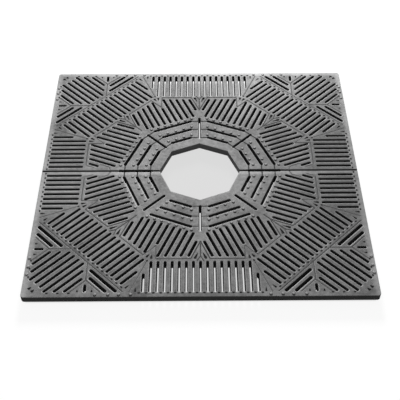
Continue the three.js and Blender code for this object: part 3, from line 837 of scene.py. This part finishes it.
for n in range(SECTORS):
    angle, between = n * EIGHTH, (n + 0.5) * EIGHTH
    for turn, apothem, depth in ((angle, HUB_RIB, HUB_RIB_DEPTH), (angle, RING_RIB, RING_RIB_DEPTH),
                                 (between, PANEL_LINE, DECK_BOTTOM)):
        rib(place(turn, corner_of(apothem)), place(turn + EIGHTH, corner_of(apothem)), depth)
    starts, stops = [corner_of(reach - SPOKE_RIBS * math.sin(HALF_EIGHTH)) for reach in (HUB_RIB, RING_RIB)]
    for across in (-SPOKE_RIBS, SPOKE_RIBS):
        rib(place(angle, starts, across), place(angle, stops, across))
    rib(place(between, PANEL_CORNER), place(between, corner_of(SEAT_LIMIT - RIB_WIDTH / 2)))
    if not on_joint(n):
        rib(place(angle, SPOKE_RIB_START), place(angle, PANEL_LINE))
for n in range(SECTORS // 2):
    diagonal = (2 * n + 1) * EIGHTH
    reach = (SEAT_LIMIT - RIB_WIDTH) / DIAGONAL - CORNER_LINE
    rib(place(diagonal, CORNER_LINE, -reach), place(diagonal, CORNER_LINE, reach))
    for hand in (-1, 1):
        axis = diagonal - hand * EIGHTH
        rib(place(axis, CORNER_LINE / DIAGONAL - WING_LINE, hand * WING_LINE),
            place(axis, fork_point + FORK_RIB, hand * WING_LINE))
print(len(ribs), "ribs")

# %% [markdown]
# A union joins both kinds to the plate and leaves one skin with no faces inside, as one pour of iron does.

# %% The tree that adds them
RIB_OVERLAP = 0.9  # of its width, so that ribs that meet run into each other


def add_ribs_and_knobs(web, given):
    lowered = web.add("GeometryNodeSetPosition", {
        "Geometry": lay_along(web, given["Ribs"]), "Offset": triple(web, 0.0, 0.0, given["Plate bottom"])})
    length = named(web, "length") + named(web, "width") * given["Rib overlap"]
    ribs_laid = copies(web, lowered, given["Rib"], triple(web, length, 1.0, named(web, "depth")))
    return solid(web, "UNION", given["Geometry"], ribs_laid, on_points(web, given["Knobs"], given["Knob"]))


grow(casting, "add_ribs_and_knobs", add_ribs_and_knobs, {
    "Ribs": lines_object("rib_lines", ribs), "Rib": rib_shape, "Rib overlap": RIB_OVERLAP,
    "Plate bottom": (DECK_BOTTOM - TOP) * MM, "Knobs": points_object("knob_points", studs), "Knob": knob,
    "Finish": cast_iron})
settle(casting)

# %% [markdown]
# ## Two halves
# The joint is a gap of 3 mm, and of 10 mm in the collar round the opening. Each half keeps what lies inside its own
# outline and gets two flanges below the joint, with machined faces that nearly touch and holes for the bolts.

# %% Outlines, flanges and bolt holes
JOINT_EDGE, COLLAR_EDGE, COLLAR_START = 1.5, 5.0, OPENING - 10  # half the gap's widths
FLANGE_START, FLANGE_FACE, FLANGE_THICKNESS, FLANGE_TOP, FLANGE_CORNER = 396.0, 0.15, 11.0, 48.0, 3.0
FLANGE_SECTION = [(0.0, 1.0), (0.8, 0.2), (1.6, 0.0), (FLANGE_TOP, 0.0)]  # rows of (height, inset)
BOLT_STATIONS = [-650.0, -470.0, 470.0, 650.0]
BOLT_HEIGHT, BOLT_HOLE, HOLE_POINTS = 12.0, 11.0, 20
HOLE_SECTION = [(-2, 0.0), (10.6, 0.0), (12.0, 1.4)]  # rows of (along the hole, flare)


def along_y(ring):
    """The same ring, with the shape's own axis laid along Y."""
    return [(x, height, y) for x, y, height in ring]


def half_outline(hand, height):
    collar_end = ring_end(RING_APOTHEMS[0])
    inner = [(collar_end, JOINT_EDGE), (collar_end, COLLAR_EDGE), (COLLAR_START, COLLAR_EDGE)]
    edge = [(-x, y) for x, y in inner] + inner[::-1]
    outline = [(-SIDE, JOINT_EDGE), *edge, (SIDE, JOINT_EDGE), (SIDE, SIDE), (-SIDE, SIDE)]
    return [(x, hand * y, height) for x, y in outline]


def flange_ring(side, hand, height, inset):
    middle, end = side * (FLANGE_START + SEAT_LIMIT) / 2, (SEAT_LIMIT - FLANGE_START) / 2 - inset
    low, high = FLANGE_FACE + inset * 0.2, FLANGE_FACE + FLANGE_THICKNESS - inset
    return [(middle + x, hand * y, height) for x, y in [
        (-end, low), (end, low), (end, high - FLANGE_CORNER), (end - FLANGE_CORNER, high),
        (-end + FLANGE_CORNER, high), (-end, high - FLANGE_CORNER)]]


def hole_ring(station, along, flare):
    ring = round_ring(BOLT_HOLE / 2 + flare, along, HOLE_POINTS)
    return along_y([(x + station, y + BOLT_HEIGHT, z) for x, y, z in ring])


def gather(name, things):
    mesh = bmesh.new()
    for thing in things:
        mesh.from_mesh(thing.data)
    data = bpy.data.meshes.new(name)
    mesh.to_mesh(data)
    mesh.free()
    return new_object(name, data)


def flanges_and_holes(hand):
    flanges = [loft("flange", [flange_ring(side, hand, height, inset) for height, inset in FLANGE_SECTION])
               for side in (-1, 1)]
    holes = [loft("bolt_hole", [hole_ring(station, hand * along, flare) for along, flare in HOLE_SECTION])
             for station in BOLT_STATIONS]
    return gather("flanges", flanges), gather("bolt_holes", holes)


print("flanges from", FLANGE_START, "to", SEAT_LIMIT)

# %% [markdown]
# Shading is smooth over lips and knobs and breaks where two faces meet at a sharp angle. One tree serves both
# halves, with different outlines.

# %% Halving the casting
def creased(web, geometry, sharp):
    """Smooth shading that breaks at every edge sharper than an angle."""
    smooth = web.add("GeometryNodeSetShadeSmooth", {"Geometry": geometry, "Shade Smooth": True}, domain="FACE")
    angle = web.add("GeometryNodeInputMeshEdgeAngle").also("Unsigned Angle")
    return web.add("GeometryNodeSetShadeSmooth", {
        "Geometry": smooth, "Selection": web.maths("GREATER_THAN", angle, sharp), "Shade Smooth": False},
        domain="EDGE")


def halve(web, given):
    kept = solid(web, "INTERSECT", given["Geometry"], given["Half"])
    flanged = solid(web, "UNION", kept, given["Flanges"])
    drilled = solid(web, "DIFFERENCE", flanged, given["Bolt holes"])
    return creased(web, drilled, given["Sharp angle"])


castings = []
for name, hand in (("front_casting", -1), ("rear_casting", 1)):
    half = new_object(name, casting.data.copy())
    flanges, holes = flanges_and_holes(hand)
    outline = loft("half_outline", [half_outline(hand, height) for height in (-20, 80)])
    grow(half, "halve", halve, {
        "Half": outline, "Flanges": flanges, "Bolt holes": holes, "Sharp angle": math.radians(50),
        "Finish": cast_iron})
    even = half.modifiers.new("even_shading", "WEIGHTED_NORMAL")
    even.keep_sharp = True
    settle(half)
    castings.append(half)

# %% [markdown]
# ## Fastenings
# A bolt, two flat washers, a spring washer and a nut pull each pair of flanges together. Each is lofted once along Y
# and starts where the one before it ends. A thread is a ripple that goes once round while it goes one pitch along.

# %% Bolt and nut
SEAT_GAP = 0.3  # between two pieces that press on each other
WASHER, SPRING, HEAD, NUT = 2.0, 2.2, 6.4, 8.4  # how much of the bolt's length each takes
WASHER_START = FLANGE_FACE + FLANGE_THICKNESS + SEAT_GAP
SPRING_START = WASHER_START + WASHER + SEAT_GAP
NUT_START = SPRING_START + SPRING + SEAT_GAP
HEX, PITCH, BOLT_RADIUS, ROUND_POINTS = 16.0, 1.5, 5.0, 36
WHOLE, FACING, HEX_CORNER = 9.3, 7.6, math.pi / 6  # radii past a hexagon's corners and of its round end face
HEAD_SECTION = [(7.0, -HEAD), (7.9, 0.25 - HEAD), (WHOLE, 1.1 - HEAD), (WHOLE, -0.55), (FACING, -0.45),
                (FACING, 0.0), (BOLT_RADIUS, 0.05)]  # rows of (radius, along)
NUT_CHAMFER, NUT_FUNNEL, NUT_BORE, NUT_MOUTH = 0.95, 0.65, 5.3, 6.0
THREAD_START, THREAD_LENGTH, THREAD_DEPTH, THREAD_STEPS = 0.25, 25.5, 0.85, 70
TIP_RADIUS, TIP = 4.0, 26.25


def turned_ring(radius_at, along):
    """A ring round the Y axis whose radius depends on the turn."""
    turns = [2 * math.pi * i / ROUND_POINTS for i in range(ROUND_POINTS)]
    return along_y([(radius_at(turn) * math.sin(turn), radius_at(turn) * math.cos(turn), along)
                    for turn in turns])


def hex_ring(limit, along):
    """A hexagon whose corners are cut back to a circle. A small circle stays round."""
    def radius_at(turn):
        return min(HEX / 2 / math.cos((turn + HEX_CORNER) % (2 * HEX_CORNER) - HEX_CORNER), limit)
    return turned_ring(radius_at, along)


def thread_ring(along, depth):
    def radius_at(turn):
        wave = abs(((along / PITCH - turn / (2 * math.pi)) % 1) * 2 - 1)
        return BOLT_RADIUS - depth * min(1, 1.25 * wave)
    return turned_ring(radius_at, along)


bolt = loft("bolt", [
    *[hex_ring(radius, along - SPRING_START) for radius, along in HEAD_SECTION], hex_ring(BOLT_RADIUS, 0.2),
    *[thread_ring(THREAD_START + THREAD_LENGTH * i / THREAD_STEPS, THREAD_DEPTH * min(1, i / 3))
      for i in range(THREAD_STEPS + 1)], hex_ring(TIP_RADIUS, TIP)])
nut = loft("nut", [hex_ring(radius, NUT_START + along) for radius, along in [
    (FACING, 0), (WHOLE, NUT_CHAMFER), (WHOLE, NUT - NUT_CHAMFER), (FACING, NUT), (NUT_MOUTH, NUT),
    (NUT_BORE, NUT - NUT_FUNNEL), (NUT_BORE, NUT_FUNNEL), (NUT_MOUTH, 0)]], ends=False)
print("bolt", len(bolt.data.polygons), "nut", len(nut.data.polygons))

# %% [markdown]
# A washer is a small section carried round in a circle. The spring washer stops short of the full circle, and the
# gap is where it springs.

# %% Washers
WASHER_SIZE, SPRING_SIZE, WASHER_BORE, SPRING_GAP = 20, 18, 11, 1.6
WASHER_EDGE, WASHER_POINTS = 0.25, 40


def washer(name, outer, start, thickness, gap=0.0):
    inner, outside, edge = WASHER_BORE / 2, outer / 2, WASHER_EDGE
    section = [(inner, edge), (inner + edge, 0), (outside - edge, 0), (outside, edge),
               (outside, thickness - edge), (outside - edge, thickness), (inner + edge, thickness),
               (inner, thickness - edge)]
    half_gap = gap / outer
    rings = []
    for i in range(WASHER_POINTS + bool(gap)):
        turn = half_gap + (2 * math.pi - 2 * half_gap) * i / WASHER_POINTS
        rings.append([(r * math.sin(turn), start + along, r * math.cos(turn)) for r, along in section])
    return loft(name, rings, ends=bool(gap))


head_washer = washer("head_washer", WASHER_SIZE, -WASHER_START - WASHER, WASHER)
nut_washer = washer("nut_washer", WASHER_SIZE, WASHER_START, WASHER)
spring_washer = washer("spring_washer", SPRING_SIZE, SPRING_START, SPRING, SPRING_GAP)
print("washers", WASHER_SIZE, "mm and spring washer", SPRING_SIZE, "mm across")

# %% [markdown]
# One small tree copies a piece to each of the four stations, so a change to it changes all four.

# %% Fastenings at their stations
def at_stations(web, given):
    points = web.add("GeometryNodeMeshToPoints", {"Mesh": given["Geometry"]})
    piece = creased(web, given["Piece"], given["Sharp angle"])
    return web.add("GeometryNodeInstanceOnPoints", {"Points": points, "Instance": piece})


fastenings = []
for piece in (bolt, head_washer, nut_washer, spring_washer, nut):
    points = bpy.data.meshes.new(piece.name + "s")
    points.from_pydata([(x * MM, 0, BOLT_HEIGHT * MM) for x in BOLT_STATIONS], [], [])
    made = new_object(piece.name + "s", points)
    grow(made, "at_stations", at_stations, {"Piece": piece, "Sharp angle": math.radians(35), "Finish": zinc_steel})
    settle(made)
    fastenings.append(made)

# %% [markdown]
# ## What stands for what
# Each piece takes the place of its CAD nodes and rides on the one body. The cutters and guide lines go.

# %% Replace the CAD nodes
pieces = castings + fastenings
for thing in made_here:
    if thing.type == "MESH" and thing not in pieces:
        bpy.data.objects.remove(thing)
for half, node in zip(castings, ("front_half", "rear_half")):
    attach(half, "root")
    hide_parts(node)
for made in fastenings:
    node = made.name[:-1]
    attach(made, "root")
    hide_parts(*[f"{node}_{where}" for where in ("left_outer", "left_inner", "right_inner", "right_outer")])
print("pieces", [thing.name for thing in pieces])

# %% [markdown]
# ## Floor
# The photograph has a plain white ground with a trace of shadow, and a light grey one under the grate. Here that grey
# is a painted shadow: under the grate the floor is painted grey and sends back less of the lamps' light. A floor that
# shines at the camera still shows a shadow if part of its white comes from the lamps. The shine is switched off for
# all but the camera's rays, reflections and glass, so it doesn't light the iron.

# %% Floor
# PAINTED_SHADOW_EDGE is where the painted shadow under the grate fades in
PAINTED_SHADOW_EDGE = HALF - 10, HALF - 22  # fades from open to covered ground
OPEN_SHINE, PAINTED_SHADOW_SHINE = 0.905, 0.695
OPEN_SHARE, PAINTED_SHADOW_SHARE = 0.18, 0.04  # of the lamps' light that such ground sends back
PLAIN_FLOOR = 0.6  # as the iron sees it
FLOOR_REACH, FLOOR_TOP, FLOOR_BOTTOM = 12000, -0.5, -30


def floor_shader(web, here):
    path = web.add("ShaderNodeLightPath")
    seen = web.maths("MAXIMUM", path.also("Is Camera Ray"), path.also("Is Glossy Ray"))
    seen = web.maths("MAXIMUM", seen, path.also("Is Transmission Ray"))
    x, y = unsigned(web, here)
    # painted shadow: under the grate the floor is grey and sends back little of the lamps' light
    painted_shadow = ramp(web, web.maths("MAXIMUM", x, y), PAINTED_SHADOW_EDGE)
    lit = web.add("ShaderNodeBsdfDiffuse", {"Color": mix(web, painted_shadow, grey(OPEN_SHARE), grey(PAINTED_SHADOW_SHARE))})
    shine = web.add("ShaderNodeEmission", {
        "Color": mix(web, painted_shadow, grey(OPEN_SHINE), grey(PAINTED_SHADOW_SHINE)), "Strength": 1.0})
    plain = web.add("ShaderNodeBsdfDiffuse", {"Color": grey(PLAIN_FLOOR)})
    return web.add("ShaderNodeMixShader", {
        0: seen, 1: plain, 2: web.add("ShaderNodeAddShader", {0: lit, 1: shine})})


floor = loft("floor", [[(x * FLOOR_REACH, y * FLOOR_REACH, height) for x, y in ((-1, -1), (1, -1), (1, 1), (-1, 1))]
                       for height in (FLOOR_BOTTOM, FLOOR_TOP)])
floor.data.materials.append(new_finish("pale_floor", floor_shader))
print("floor", [round(x, 1) for x in floor.dimensions])

# %% [markdown]
# ## Light
# The iron is brighter towards its far edge, so the main light is a broad panel behind it, and a weak, even sky fills
# the rest. The sky looks white to the camera but lights the scene less.

# %% Light
SKY_LEVEL = 0.22
PANEL_STAND, PANEL_SIZE, PANEL_POWER = (0.0, 4.7, 2.9), 1.6, 345  # metres and watts

world = bpy.data.worlds.new("studio")
world.use_nodes = True
world.node_tree.nodes.clear()
sky = Web(world.node_tree)
path = sky.add("ShaderNodeLightPath")
seen = sky.maths("MAXIMUM", path.also("Is Camera Ray"), path.also("Is Transmission Ray"))
level = mix(sky, seen, grey(SKY_LEVEL), grey(1.0))
sky.add("ShaderNodeOutputWorld", {"Surface": sky.add("ShaderNodeBackground", {"Color": level})})
bpy.context.scene.world = world

panel_data = bpy.data.lights.new("main_panel", "AREA")
panel_data.shape, panel_data.size, panel_data.energy = "SQUARE", PANEL_SIZE, PANEL_POWER
lamp = new_object("main_panel", panel_data)
lamp.location = PANEL_STAND
lamp.rotation_euler = (Vector((0, 0, 0)) - Vector(PANEL_STAND)).to_track_quat("-Z", "Y").to_euler()
bpy.context.scene.view_settings.view_transform = "Standard"
print("light", lamp.name, PANEL_POWER, "watts")
